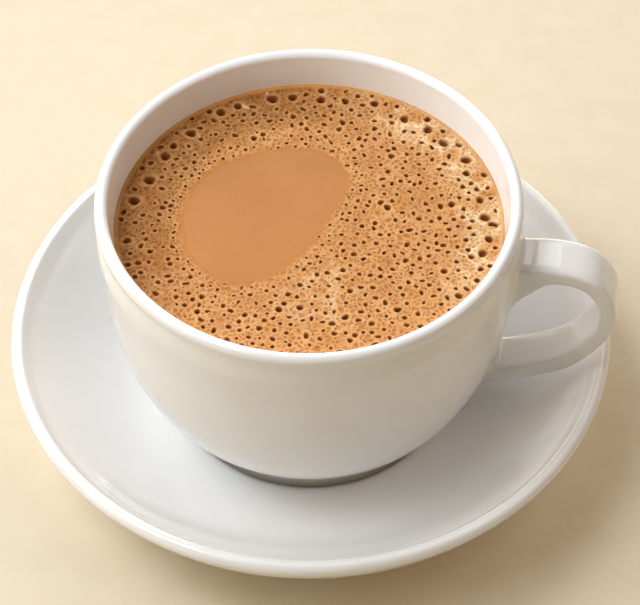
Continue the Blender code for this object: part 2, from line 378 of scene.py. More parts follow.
@dataclass(frozen=True)
class Glaze(Finish):
    """Glossy white glaze over stoneware, left bare where a saucer's foot stands; painted shade at a cup's
    foot and painted light inside its lip.

    Attributes:
        foot: Height of the bare clay on a saucer, and of the darkest painted shade on a cup's foot, in
            metres.
        fade: Height over which the glaze then covers it, in metres.
        colour: Glaze where it is thick.
        thin: Glaze where it runs thin.
        clay_and_shade: Bare clay on a saucer's foot; painted shade on a cup's foot.
        inner: Whiter glaze inside a lip: painted light.
        lip: Radius of that lip, in metres, or 0 for none.
        lip_fade: Where the painted light ends, inside and outside that radius, in metres.
        lip_height: Height well below the lip where the painted light starts, in metres.
        lip_rise: Height over which it starts, in metres.
        clouds: Where the glaze runs thin.
        ripple: Size of its soft ripple, in metres.
        grit: Size of the clay's grit, in metres.
        gloss: Roughness of the glaze, and what thin glaze and the bare or painted-shade foot add to it.
    """

    foot: float
    fade: float = 0.25 * MM
    colour: Colour = (0.875, 0.87, 0.86)
    thin: Colour = (0.86, 0.85, 0.83)
    clay_and_shade: Colour = (0.66, 0.58, 0.48)
    inner: Colour = (0.935, 0.95, 0.965)
    lip: float = 0.0
    lip_fade: Span = (0.5 * MM, 1.2 * MM)
    lip_height: float = 0.0
    lip_rise: float = 6 * MM
    clouds: Patches = Patches(14, 0.35, 0.7)
    ripple: float = 11 * MM
    grit: float = 0.35 * MM
    gloss: tuple[float, float, float] = (0.035, 0.02, 0.72)

    def paint(self, board: Board, place: Wire) -> None:
        """Lay the glaze, the painted light inside a lip, and the foot's bare clay on a saucer or painted
        shade on a cup.
        """
        height = board.add("ShaderNodeSeparateXYZ", {}, {0: place}, "Z")
        # At the foot: bare clay on a saucer, painted shade on a cup, darkest at its base.
        bare_and_shaded = 1.0 - height.step(self.foot, self.foot + self.fade)
        cloud = self.clouds.on(board, place)
        ripple = board.noise(place, self.ripple, 1.0)
        grit = board.noise(place, self.grit, 3.0)
        glaze = board.blend(cloud, self.colour, self.thin)
        # Inside the lip the glaze is whiter: painted light.
        if self.lip:
            above = height.step(self.lip_height, self.lip_height + self.lip_rise)
            outside = board.radius(place).step(self.lip - self.lip_fade[0], self.lip + self.lip_fade[1])
            glaze = board.blend((1.0 - outside) * above, glaze, self.inner)
        relief = ripple * (1.0 - bare_and_shaded) + grit * bare_and_shaded * 0.8
        smoothest, thin, clay_and_shade = self.gloss
        board.finish(
            base_color=board.blend(bare_and_shaded, glaze, self.clay_and_shade),
            roughness=smoothest + cloud * thin + bare_and_shaded * clay_and_shade,
            ior=1.52,
            normal=board.bump(relief, 0.08 * MM, 0.3),
        )


@dataclass(frozen=True)
class TeaFinish(Finish):
    """Still surface of milky tea, with a thin skin.

    Attributes:
        colour: The tea.
        pale: Tea with more cream in it.
        swirls: Its broad swirls.
        flecks: Its fine flecks.
        skin: Size of the skin's ripple, in metres.
        roughness: Roughness of its skin.
    """

    colour: Colour = (0.525, 0.214, 0.061)
    pale: Colour = (0.575, 0.245, 0.073)
    swirls: Patches = Patches(16, 0.3, 0.75, 3.0)
    flecks: Patches = Patches(1.1, 0.42, 0.75)
    skin: float = 5 * MM
    roughness: float = 0.36

    def tint(self, board: Board, place: Wire) -> Wire:
        """Colour of the still tea.

        Args:
            board: The material's node tree.
            place: Object coordinates.

        Returns:
            The colour.
        """
        swirl, fleck = self.swirls.on(board, place), self.flecks.on(board, place)
        return board.blend(swirl * 0.7 + fleck * 0.2, self.colour, self.pale)

    def paint(self, board: Board, place: Wire) -> None:
        """Lay the tea's colour and the ripple of its skin."""
        board.finish(
            base_color=self.tint(board, place),
            roughness=self.roughness,
            ior=1.35,
            normal=board.bump(board.noise(place, self.skin, 3.0), 0.1 * MM, 0.2),
        )


@dataclass(frozen=True)
class FrothFinish(Finish):
    """Fine froth with burst bubbles, read from the mesh's "bubble" and "side" marks.

    Attributes:
        wall: Radius of the cup's wall.
        body: The froth between its bubbles.
        pale: Drier froth, and the lips of the bubbles.
        cream_and_glint: The palest walls between bubbles, and the painted highlight of the glints.
        dim: Wet froth inside its finest cells.
        wet_and_shade: Thin wet froth by the wall, darkened further as painted shade from the wall.
        pit: Inside a burst bubble: the darker tea beneath, darkened further as painted shade.
        pit_floor_shade: Painted shade at the bottom of the deepest ones.
        shore: Clear tea creeping up the cup's wall.
        shore_from: How far from the wall the shore starts and is full, in metres.
        cell: Size of the finest cells, in metres.
        clouds: Broad patches with clearer cell walls.
        drifts: Patches that are less dim.
        spots: Small patches that are less dim.
        swirl: Size of the cream's lines, in metres.
        swirl_width: Width of those lines: distances from the noise's middle, squared.
    """

    wall: float
    body: Colour = (0.56, 0.232, 0.066)
    pale: Colour = (0.78, 0.435, 0.185)
    cream_and_glint: Colour = (0.90, 0.66, 0.385)
    dim: Colour = (0.34, 0.105, 0.019)
    wet_and_shade: Colour = (0.215, 0.068, 0.010)
    pit: Colour = (0.175, 0.043, 0.004)
    pit_floor_shade: Colour = (0.062, 0.015, 0.002)
    shore: Colour = (0.68, 0.33, 0.085)
    shore_from: Span = (1.25 * MM, 0.45 * MM)
    cell: float = 1.3 * MM
    clouds: Patches = Patches(7, 0.34, 0.66, 3.0)
    drifts: Patches = Patches(3.0, 0.36, 0.62, 1.0)
    spots: Patches = Patches(1.2, 0.34, 0.62, 1.0)
    swirl: float = 2.4 * MM
    swirl_width: Span = (0.0004, 0.0045)

    def paint(self, board: Board, place: Wire) -> None:
        """Lay the fine froth, then what the marks say of its bubbles and its sides."""
        bubble = board.add("ShaderNodeAttribute", {"attribute_name": "bubble"}, {}, "Color")
        spread = bubble.twin("Alpha")
        core = board.add("ShaderNodeSeparateColor", {}, {0: bubble}, "Red")
        halo, cream_and_glint = core.twin("Green"), core.twin("Blue")
        side = board.add("ShaderNodeAttribute", {"attribute_name": "side"}, {}, "Color")
        # Red of the side mark: wet froth, darkened further as painted shade from the wall.
        wet_and_shade = board.add("ShaderNodeSeparateColor", {}, {0: side}, "Red")
        creamy = wet_and_shade.twin("Green")

        bent = board.stir(place, 2.0 * MM, 0.9 * MM)
        cell = board.cells(bent, self.cell, Grain.MIDDLE)
        edge = board.cells(bent, self.cell, Grain.WALLS)
        patches = (self.clouds, self.drifts, self.spots)
        cloud, drift, spot = (kind.on(board, place) for kind in patches)
        heart = 1.0 - cell.step(0.10, 0.55)
        net = 1.0 - edge.step(0.02, 0.24)
        middle = board.noise(board.stir(place, 4.0 * MM, 1.6 * MM), self.swirl, 0.5) - 0.5
        swirl = 1.0 - (middle * middle).step(*self.swirl_width)
        start, full = (self.wall - inset for inset in self.shore_from)
        shore = board.radius(place).step(start, full) * cloud.above(0.55)

        # Each layer covers those before it by its share.
        colour: Wire | Colour = self.body
        for share, layer in (
            ((1.0 - drift) * 0.22, self.dim),
            ((1.0 - spot) * 0.18, self.dim),
            (heart * spot.above(0.30) * 0.56, self.dim),
            (net * cloud.above(0.40) * 0.80, self.pale),
            # Wet side: wetter froth and painted shade from the wall.
            (wet_and_shade * (0.56 + 0.34 * heart), self.wet_and_shade),
            (halo * 0.85 * (1.0 - 0.2 * wet_and_shade), self.pale),
            # The cream mark also carries the glints by the far wall: painted highlight.
            (cream_and_glint * (0.20 + 0.16 * net + 0.64 * swirl), self.cream_and_glint),
            (1.0 - spread, TeaFinish().tint(board, place)),
            (shore, board.blend(creamy, self.shore, self.pale)),
            # Pits: darker tea beneath the froth, darkened further as painted shade; the deepest floors are
            # painted shade.
            (core.step(0.0, 0.72), self.pit),
            (core.step(0.74, 1.05), self.pit_floor_shade),
        ):
            colour = board.blend(share, colour, layer)

        relief = cell.step(0.05, 0.55) * 0.6 + spot * 0.4
        board.finish(
            base_color=colour,
            roughness=TeaFinish().roughness + 0.08 * spread,
            ior=1.35,
            specular_ior_level=0.1,
            coat_weight=shore * 0.2,
            coat_roughness=0.05,
            normal=board.bump(relief * spread, 0.22 * MM, 0.75),
        )


@dataclass(frozen=True)
class TableFinish(Finish):
    """Plain pale tabletop.

    Attributes:
        colour: The tabletop.
        shade: Its slightly deeper tone.
        mottle: Where it is deeper.
    """

    colour: Colour = (0.765, 0.665, 0.505)
    shade: Colour = (0.725, 0.62, 0.46)
    mottle: Patches = Patches(9, 0.3, 0.75, 4.0)

    def paint(self, board: Board, place: Wire) -> None:
        """Lay the mottled top."""
        share = self.mottle.on(board, place) * 0.6
        board.finish(base_color=board.blend(share, self.colour, self.shade), roughness=0.85)

# Modelling


class Bench:
    """One mesh being shaped in edit mode, its parts picked out by their place."""

    def __init__(self, name: str, sides: int, radius: float, height: float, turn: float = 0.0) -> None:
        """Start with one open ring round the Z axis.

        Args:
            name: The piece's name.
            sides: Corners of the ring.
            radius: Its radius.
            height: Its height.
            turn: Angle that its first corner is turned by.
        """
        bpy.ops.object.select_all(action="DESELECT")
        bpy.ops.mesh.primitive_circle_add(
            vertices=sides, radius=radius, fill_type="NOTHING",
            location=(0, 0, height), rotation=(0, 0, turn),
        )
        bpy.ops.object.transform_apply(location=True, rotation=True, scale=True)
        self.obj = bpy.context.object
        self.obj.name = name
        self.obj.data.name = name
        self.radius = radius
        self.height = height
        bpy.ops.object.mode_set(mode="EDIT")
        bpy.ops.mesh.select_mode(type="VERT")
        bpy.ops.mesh.select_all(action="SELECT")

    def ring(self, radius: float, height: float) -> None:
        """Extrude the last ring to a new radius and height."""
        bpy.ops.mesh.extrude_edges_indiv()
        bpy.ops.transform.translate(value=(0, 0, height - self.height))
        share = radius / self.radius
        bpy.ops.transform.resize(value=(share, share, 1), center_override=(0, 0, height))
        self.radius = radius
        self.height = height

    def rings(self, stations: Iterable[Sequence[float]]) -> None:
        """Extrude a ring for each (radius, height)."""
        for radius, height in stations:
            self.ring(radius, height)

    def ring_onto(self, shift: Callable[[Vector], Vector]) -> None:
        """Extrude the last ring, and put each of its corners where shift says."""
        bpy.ops.mesh.extrude_edges_indiv()
        self.move_picked(shift)

    def lid(self) -> None:
        """Fill the selected ring."""
        bpy.ops.mesh.edge_face_add()

    def pick(self, kind: str, test: Callable[[Vector], bool]) -> None:
        """Select what passes a test on its middle, and nothing else.

        Args:
            kind: VERT or FACE.
            test: Tells of a place whether it is wanted.
        """
        bpy.ops.mesh.select_mode(type=kind)
        bpy.ops.mesh.select_all(action="DESELECT")
        shape = bmesh.from_edit_mesh(self.obj.data)
        for part in shape.verts if kind == "VERT" else shape.faces:
            if test(part.co if kind == "VERT" else part.calc_center_median()):
                part.select_set(True)
        shape.select_flush_mode()
        bmesh.update_edit_mesh(self.obj.data)

    def pick_all(self) -> None:
        """Select every corner."""
        self.pick("VERT", lambda place: True)

    def pick_open_edges(self) -> None:
        """Select the edges that have one face."""
        bpy.ops.mesh.select_mode(type="EDGE")
        bpy.ops.mesh.select_all(action="DESELECT")
        shape = bmesh.from_edit_mesh(self.obj.data)
        for edge in shape.edges:
            if edge.is_boundary:
                edge.select_set(True)
        bmesh.update_edit_mesh(self.obj.data)

    def move_picked(self, shift: Callable[[Vector], Vector]) -> None:
        """Move each selected corner to where shift puts it."""
        shape = bmesh.from_edit_mesh(self.obj.data)
        for vertex in shape.verts:
            if vertex.select:
                vertex.co = shift(vertex.co)
        bmesh.update_edit_mesh(self.obj.data)

    def done(self, levels: int) -> bpy.types.Object:
        """Leave edit mode with the faces outwards, and smooth the cage.

        Args:
            levels: Levels of the smoothing.

        Returns:
            The finished object.
        """
        bpy.ops.mesh.select_all(action="SELECT")
        bpy.ops.mesh.normals_make_consistent(inside=False)
        bpy.ops.object.mode_set(mode="OBJECT")
        if levels:
            bpy.ops.object.modifier_add(type="SUBSURF")
            modifier = self.obj.modifiers[-1]
            modifier.levels = levels
            modifier.render_levels = levels
            bpy.ops.object.modifier_apply(modifier=modifier.name)
        bpy.ops.object.shade_smooth()
        return self.obj


def turned(name: str, profile: Sequence[Point], turn: float = 0.0) -> Bench:
    """Turn a profile into a closed cage of rings.

    Args:
        name: The piece's name.
        profile: (radius, height) from the top's middle, round the edge, to the middle of the base.
        turn: Angle that the rings are turned by.

    Returns:
        The bench, in edit mode, with the cage closed.
    """
    # Smoothing draws a ring's corners inwards, so that the cage's rings are larger than the profile's.
    swell = 6 / (4 + 2 * math.cos(2 * math.pi / RING_SIDES))
    cage = [(point.x * swell, point.y) for point in cage_for(profile)]
    bench = Bench(name, RING_SIDES, *cage[0], turn)
    bench.lid()
    bench.pick_all()
    bench.rings(cage[1:])
    bench.lid()
    return bench


def dress(obj: bpy.types.Object, material: bpy.types.Material, slot: Slot, *nodes: str) -> None:
    """Give a piece its finish, and let it stand for its CAD nodes.

    Args:
        obj: The piece.
        material: Its material.
        slot: Not used.
        nodes: CAD nodes that it stands for.
    """
    obj.data.materials.clear()
    obj.data.materials.append(material)
    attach(obj, ROOT)
    if nodes:
        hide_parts(*nodes)
    log.info("%s: %d faces, %s", obj.name, len(obj.data.polygons), material.name)


@dataclass
class Saucer:
    """Deep saucer with a flat well, a rolled lip and a foot ring. Sizes in millimetres."""

    lip_radius: float = 70.2
    lip_height: float = 26.6
    lip_round: float = 1.8
    wall: float = 4.0
    well_radius: float = 36.0
    well_height: float = 5.5
    bowl_power: float = 1.75
    foot_band: float = 0.25
    well_stations: tuple[float, ...] = (3, 11, 20, 28, 33.5)
    bowl_stations: tuple[float, ...] = (36.8, 39.5, 43, 46.5, 50, 53.5, 57, 60.2, 63.2, 65.6, 67.5)
    lip_arc: tuple[float, float, int] = (125, -50, 7)
    under_stations: tuple[float, ...] = (66.9, 65, 62, 58.5, 55, 51.5, 48, 45, 43)
    foot: tuple[Point, ...] = (
        (42.9, 2.45), (42.3, 1.5), (42.0, 0.75), (41.8, 0.2), (41.3, 0.0), (40.3, 0.0), (39.2, 0.0),
        (38.7, 0.2), (38.5, 0.7), (38.2, 1.2), (37.5, 1.5), (35, 1.5), (29, 1.5), (20, 1.5), (11, 1.5),
        (3, 1.5),
    )

    def inside(self, radius: float) -> float:
        """Height of the upper surface at a radius."""
        reach = max(0.0, (radius - self.well_radius) / (self.lip_radius - self.well_radius))
        rise = self.lip_height + self.lip_round - self.well_height
        return self.well_height + rise * reach ** self.bowl_power

    def below(self, radius: float) -> Point:
        """Point of the underside, one wall's thickness square below the upper surface."""
        rise = self.inside(radius) - self.well_height
        slope = self.bowl_power * rise / (radius - self.well_radius)
        normal = Vector((slope, -1.0)).normalized() * self.wall
        return (radius + normal.x, self.inside(radius) + normal.y)

    def profile(self) -> list[Point]:
        """Profile from the middle of the well, over the lip, to the middle of the base."""
        well = [(radius, self.well_height) for radius in self.well_stations]
        bowl = [(radius, self.inside(radius)) for radius in self.bowl_stations]
        lip = arc((self.lip_radius, self.lip_height), self.lip_round, *self.lip_arc)
        under = [self.below(radius) for radius in self.under_stations]
        points = [*well, *bowl, *lip, *under, *self.foot]
        return [(radius * MM, height * MM) for radius, height in points]

    def build(self) -> None:
        """Model and dress the saucer."""
        saucer = turned("saucer_turned", self.profile()).done(SMOOTH_LEVELS)
        glaze = Glaze(foot=self.foot_band * MM).make("saucer_white_glaze")
        dress(saucer, glaze, Slot.SAUCER, "saucer")


@dataclass
class Cup:
    """Round-bodied cup with a rolled rim, a foot ring and a strap handle.

    Sizes are in millimetres, as (radius, depth below the middle of the rim), and for the strap with the
    share of its thickness as well.
    """

    rim_height: float = 71.0
    rim_middle: float = 47.0
    rim_round: float = 1.5
    rim_arc: tuple[float, float, int] = (180, -20, 8)
    outside: tuple[Point, ...] = (
        (48.41, 0.5), (48.2, 2.6), (48.7, 7.5), (48.0, 17), (47.2, 30), (44.8, 42), (39.8, 53),
        (32.8, 61.2),
    )
    inner_wall: tuple[Point, ...] = (
        (45.5, 0), (44.7, 6), (43.8, 17), (43.0, 30), (40.5, 41), (35.1, 51), (27.5, 56.8),
        (16, 58.6),
    )
    floor: tuple[Point, ...] = ((3, 58.8), (9, 58.8), (16, 58.6))
    inner_depths: tuple[float, ...] = (
        58.1, 56.6, 54.2, 51, 47, 42.5, 37.5, 32, 26, 20, 14.5, 10.5, 7.6, 5.4, 3.7, 2.4, 1.4,
        0.65,
    )
    outer_depths: tuple[float, ...] = (
        1.2, 2.1, 3.3, 4.8, 6.6, 8.6, 13.6, 18.6, 23.6, 29.5, 35, 40, 45, 48.5, 52, 55.5, 58.4,
        60.4,
    )
    foot: tuple[Point, ...] = (
        (32.35, 61.7), (32.15, 62.6), (32.7, 63.6), (33.35, 64.2), (33.6, 64.65), (33.4, 65.05),
        (32.9, 65.2), (32, 65.2), (31.1, 65.2), (30.6, 65.05), (30.4, 64.6), (30.2, 63.7), (29.9, 63),
        (29.1, 62.65), (27, 62.6), (22, 62.6), (12, 62.6), (3, 62.6),
    )
    upper_root: Point = (8.6, 23.6)
    lower_root: Point = (45.0, 55.5)
    root_reach: float = 9.0
    root_core: float = 0.75
    root_radius: float = 48.0
    wall_margin: float = 1.8
    strap_width: float = 11.0
    strap_thickness: float = 4.2
    strap_spacing: float = 4.0
    strap_route: tuple[tuple[float, float, float], ...] = (
        (50.4, 14.2, 2.1), (53.6, 12.4, 1.4), (57.6, 11.6, 1.05), (62.0, 12.2, 1), (66.9, 15.2, 1),
        (69.8, 21.8, 1), (68.9, 29.6, 1), (62.4, 40.0, 1), (54.0, 45.6, 1), (46.6, 48.8, 1.04),
    )
    strap_edge: Span = (2.7, 1.4)
    strap_split: float = 0.33
    strap_steepest: float = 60.0
    root_draw: float = 2.1
    # The foot band is painted shade: darkest at the base, fading into the glaze up the neck.
    foot_band: float = 0.5
    foot_depth: float = 65.2
    foot_shade_fade: float = 2.9
    foot_painted_shade: Colour = (0.18, 0.148, 0.098)
    # Below the rim the inside is whiter down to this depth: painted light.
    painted_light_depth: float = 16.0

    def place(self, point: Sequence[float]) -> Point:
        """Turn (radius, depth) in millimetres into (radius, height) in metres."""
        return (point[0] * MM, (self.rim_height - point[1]) * MM)

    def profile(self) -> list[Point]:
        """Profile from the middle of the floor, over the rim, to the middle of the base."""
        inside = radii_at(self.inner_wall, self.inner_depths)
        round_rim = arc((self.rim_middle, 0), self.rim_round, *self.rim_arc)
        rim = [(radius, -rise) for radius, rise in round_rim]
        outside = radii_at(self.outside, self.outer_depths)
        return [self.place(point) for point in [*self.floor, *inside, *rim, *outside, *self.foot]]

    def strap_line(self) -> list[Vector]:
        """Evenly spaced (radius, height, share of thickness) along the strap's middle, in metres."""
        line = flowing_line(self.strap_route, LINE_STEPS)
        lengths = [0.0]
        for start, end in zip(line, line[1:]):
            lengths.append(lengths[-1] + (end - start).xy.length)
        count = round(lengths[-1] / self.strap_spacing)
        stations = []
        for index in range(count + 1):
            wanted = lengths[-1] * index / count
            near = min(range(len(line)), key=lambda step: abs(lengths[step] - wanted))
            radius, height = self.place(line[near])
            stations.append(Vector((radius, height, line[near].z)))
        return stations

    def on_root(self, root: Point) -> Callable[[Vector], bool]:
        """Tell whether a face of the outside belongs to one of the strap's roots."""
        low, high = self.place((0, root[1]))[1], self.place((0, root[0]))[1]
        reach = math.radians(self.root_reach)

        def test(place: Vector) -> bool:
            """Whether the face's middle lies on the root."""
            angle = abs(math.atan2(place.y, place.x))
            if not low < place.z < high or angle > reach * self.root_core:
                return False
            outer = radii_at(self.outside, [self.rim_height - place.z / MM])[0][0]
            return abs(place.xy.length - outer * MM) < self.wall_margin * MM

        return test

    def draw_in(self, place: Vector) -> Vector:
        """Draw corners in towards the handle, so that its roots are as wide as the strap."""
        angle = math.degrees(math.atan2(place.y, place.x))
        share = angle / self.root_reach
        turned_by = math.radians(angle - self.root_draw * share * math.exp(0.5 * (1 - share * share)))
        radius = place.xy.length
        return Vector((radius * math.cos(turned_by), radius * math.sin(turned_by), place.z))

    def square_up(self, centre: Vector, size: float) -> Callable[[Vector], Vector]:
        """Give the move that turns a root into the strap's flat section, its corners held tight.

        Args:
            centre: Middle of the section.
            size: The section's thickness, as a share of the strap's.

        Returns:
            A function from a corner's place to its new place.
        """
        half = (self.strap_width / 2 * MM, self.strap_thickness / 2 * MM)
        root_height = self.upper_root[1] - self.upper_root[0]
        split = (self.strap_width * self.strap_split * MM, root_height * self.strap_split * MM)

        def shift(place: Vector) -> Vector:
            """Put one corner of the root's faces on the section."""
            away = place - centre
            spread = []
            for value, reach, limit, edge in zip((away.y, away.z), half, split, self.strap_edge):
                spread.append(math.copysign(reach - (0 if abs(value) > limit else edge * MM), value))
            return Vector((centre.x, centre.y + spread[0], centre.z + spread[1] * size))

        return shift

    def draw_strap(self, bench: Bench) -> None:
        """Extrude the strap from the upper root round to the lower one, and join it there."""
        stations = self.strap_line()
        cage = cage_for([station.xy for station in stations])
        bench.pick("FACE", self.on_root(self.upper_root))
        middle = self.place((0, sum(self.upper_root) / 2))[1]
        centre = Vector((self.root_radius * MM, 0, middle))
        angle = 0.0
        size = stations[0].z
        for index, (point, station) in enumerate(zip(cage, stations)):
            bpy.ops.mesh.extrude_region()
            if index == 0:
                bench.move_picked(self.square_up(centre, size))
            target = Vector((point.x, 0, point.y))
            bpy.ops.transform.translate(value=target - centre)
            centre = target
            share = station.z / size
            bpy.ops.transform.resize(value=(share, 1, share), center_override=centre)
            size = station.z
            ahead = stations[min(index + 1, len(stations) - 1)] - stations[max(index - 1, 0)]
            heading = math.atan2(ahead.y, ahead.x)
            if heading > math.radians(self.strap_steepest):
                heading -= 2 * math.pi
            turn = OPERATOR_TURN * (angle - heading)
            bpy.ops.transform.rotate(value=turn, orient_axis="Y", center_override=centre)
            angle = heading
        bpy.ops.mesh.delete(type="FACE")
        bench.pick("FACE", self.on_root(self.lower_root))
        bpy.ops.mesh.delete(type="FACE")
        bench.pick_open_edges()
        bpy.ops.mesh.bridge_edge_loops()

    def build(self) -> None:
        """Model and dress the cup."""
        bench = turned("cup_turned", self.profile(), math.pi / RING_SIDES)
        bench.pick_all()
        bench.move_picked(self.draw_in)
        self.draw_strap(bench)
        cup = bench.done(SMOOTH_LEVELS)
        base = self.place((0, self.foot_depth))[1]
        # The cup's glaze has painted shade at the foot and painted light inside the rim.
        glaze = Glaze(
            foot=base + self.foot_band * MM, fade=self.foot_shade_fade * MM, clay_and_shade=self.foot_painted_shade,
            lip=self.rim_middle * MM, lip_height=(self.rim_height - self.painted_light_depth) * MM,
        )
        dress(cup, glaze.make("cup_glaze_painted_light_and_shade"), Slot.CUP, "cup")

    def wall_radius(self, depth: float) -> float:
        """Radius of the inner wall at a depth, in millimetres."""
        return radii_at(self.inner_wall, [depth])[0][0]


@dataclass
class BarePatch:
    """Opening in the froth where the tea shows. Sizes in millimetres.

    Attributes:
        centre: Its middle.
        outline: Places that its edge runs through.
        ragged: How far the edge's small waves reach.
        waves: Those waves: how many go round, where they start, and their share.
        table: The edge's distance from the centre at each angle, with one more place at both ends.
    """

    centre: Vector = field(default_factory=lambda: Vector((-12.0, 1.0)))
    outline: tuple[Point, ...] = (
        (6.4, 14.5), (3.7, 1.3), (-1.8, -11.6), (-11.7, -20.4), (-23.6, -15.0), (-28.6, -1.5),
        (-25.0, 11.6), (-13.2, 20.1), (-1.0, 21.8),
    )
    ragged: float = 0.35
    waves: tuple[tuple[float, float, float], ...] = ((23, 0.0, 0.5), (37, 1.0, 0.3), (11, 2.0, 0.5))
    table: list[Point] = field(default_factory=list)

    def __post_init__(self) -> None:
        """Read the outline as a distance for each angle."""
        around = [point - self.centre for point in flowing_line(self.outline, 16, closed=True)]
        table = sorted((math.atan2(point.y, point.x), point.length) for point in around)
        first, last = table[0], table[-1]
        whole = 2 * math.pi
        self.table = [(last[0] - whole, last[1]), *table, (first[0] + whole, first[1])]

    def reach(self, angle: float) -> float:
        """Distance from the centre to the outline."""
        angle = math.remainder(angle, 2 * math.pi)
        for start, end in zip(self.table, self.table[1:]):
            if start[0] <= angle <= end[0]:
                break
        share = (angle - start[0]) / (end[0] - start[0])
        wobble = sum(math.sin(count * angle + shift) * part for count, shift, part in self.waves)
        return start[1] + (end[1] - start[1]) * share + self.ragged * wobble

    def beyond(self, point: Vector) -> float:
        """How far a point lies outside the outline; negative inside."""
        away = point - self.centre
        return away.length - self.reach(math.atan2(away.y, away.x))

    def around(self, count: int, grow: float) -> list[Vector]:
        """Points round the outline, moved outwards by grow."""
        angles = [-math.pi + 2 * math.pi * (index + 0.5) / count for index in range(count)]
        return [self.centre + polar(angle, self.reach(angle) + grow) for angle in angles]


@dataclass
class Tea:
    """The drink under its froth, risen a little where the froth leaves it bare. Sizes in millimetres."""

    cup: Cup
    patch: BarePatch
    gap: float = 0.3
    deep_gap: float = 0.42
    deep_from: float = 50.0
    top_depth: float = 9.3
    patch_depth: float = 8.0
    floor_height: float = 12.5
    floor_radii: Span = (3, 24)
    sides: int = 144
    wall_depths: tuple[float, ...] = (56.5, 54, 51, 46, 40, 33, 26, 18, 12)
    rise: tuple[Span, ...] = ((1.9, 9.3), (1.2, 9.3), (0.9, 8.2), (0.6, 8.0), (0.0, 8.0))
    plateau: tuple[float, ...] = (0.9, 0.75, 0.55, 0.35, 0.15)

    def build(self) -> None:
        """Model and dress the tea."""
        floor = self.floor_height * MM
        bench = Bench("tea", self.sides, self.floor_radii[0] * MM, floor)
        bench.lid()
        bench.pick_all()
        bench.ring(self.floor_radii[1] * MM, floor)
        for depth in (*self.wall_depths, self.top_depth):
            gap = self.deep_gap if depth > self.deep_from else self.gap
            bench.ring((self.cup.wall_radius(depth) - gap) * MM, (self.cup.rim_height - depth) * MM)
        for grow, depth in self.rise:
            bench.ring_onto(self.onto_outline(grow, (self.cup.rim_height - depth) * MM))
        for share in self.plateau:
            top = (self.cup.rim_height - self.patch_depth) * MM
            bench.ring_onto(self.onto_outline(0.0, top, share))
        bench.lid()
        tea = bench.done(0)
        dress(tea, TeaFinish().make("milky_tea"), Slot.CHAI, "chai")

    def onto_outline(
        self, grow: float, height: float, share: float = 1.0,
    ) -> Callable[[Vector], Vector]:
        """Give the move that puts a ring's corner on the patch's outline.

        Args:
            grow: How far outside the outline, in millimetres.
            height: Height of the ring, in metres.
            share: Share of the outline's distance from the patch's centre.

        Returns:
            A function from a corner's place to its new place.
        """
        middle = self.patch.centre * MM

        def shift(place: Vector) -> Vector:
            """Put one corner on the outline, along its own direction from the patch's centre."""
            away = place.xy - middle
            angle = math.atan2(away.y, away.x)
            reach = (self.patch.reach(angle) + grow) * share * MM
            return Vector((middle.x + math.cos(angle) * reach, middle.y + math.sin(angle) * reach, height))

        return shift


@dataclass
class Bubble:
    """A bubble: its place, its radius, and how its outline is drawn out. Sizes in millimetres.

    Attributes:
        place: Its middle.
        radius: Its radius.
        stretch: How much longer it is than wide.
        lean: Direction that it is drawn out in.
        lump: How uneven its outline is.
        tone: How dark and how clearly ringed it is, from 0 to 1.
        depth: How deep its floor lies.
    """

    place: Vector
    radius: float
    stretch: float
    lean: float
    lump: float
    tone: float
    depth: float

    @property
    def fine(self) -> bool:
        """Whether it is one of the faint dimples."""
        return self.radius < 0.37

    @property
    def darkness(self) -> float:
        """How dark its middle is, from 0 to 1."""
        return 0.16 + 0.30 * self.tone if self.fine else 0.72 + 0.28 * self.tone

    @property
    def clearness(self) -> float:
        """How clearly it is ringed, from 0 to 1."""
        return 0.6 if self.fine else 0.55 + 0.45 * ((self.tone * 7.3) % 1.0)

    def edge(self, angle: float) -> float:
        """Distance from the middle to the lip at an angle."""
        turn = angle - self.lean
        lumps = self.lump * math.cos(3 * turn + self.tone * 6)
        return self.radius * (1 + self.stretch * math.cos(2 * turn) + lumps)

    def share(self, point: Vector) -> float:
        """Distance of a point from the middle, as a share of the lip's distance there."""
        away = point - self.place
        if away.length < 1e-6:
            return 0.0
        return away.length / self.edge(math.atan2(away.y, away.x))


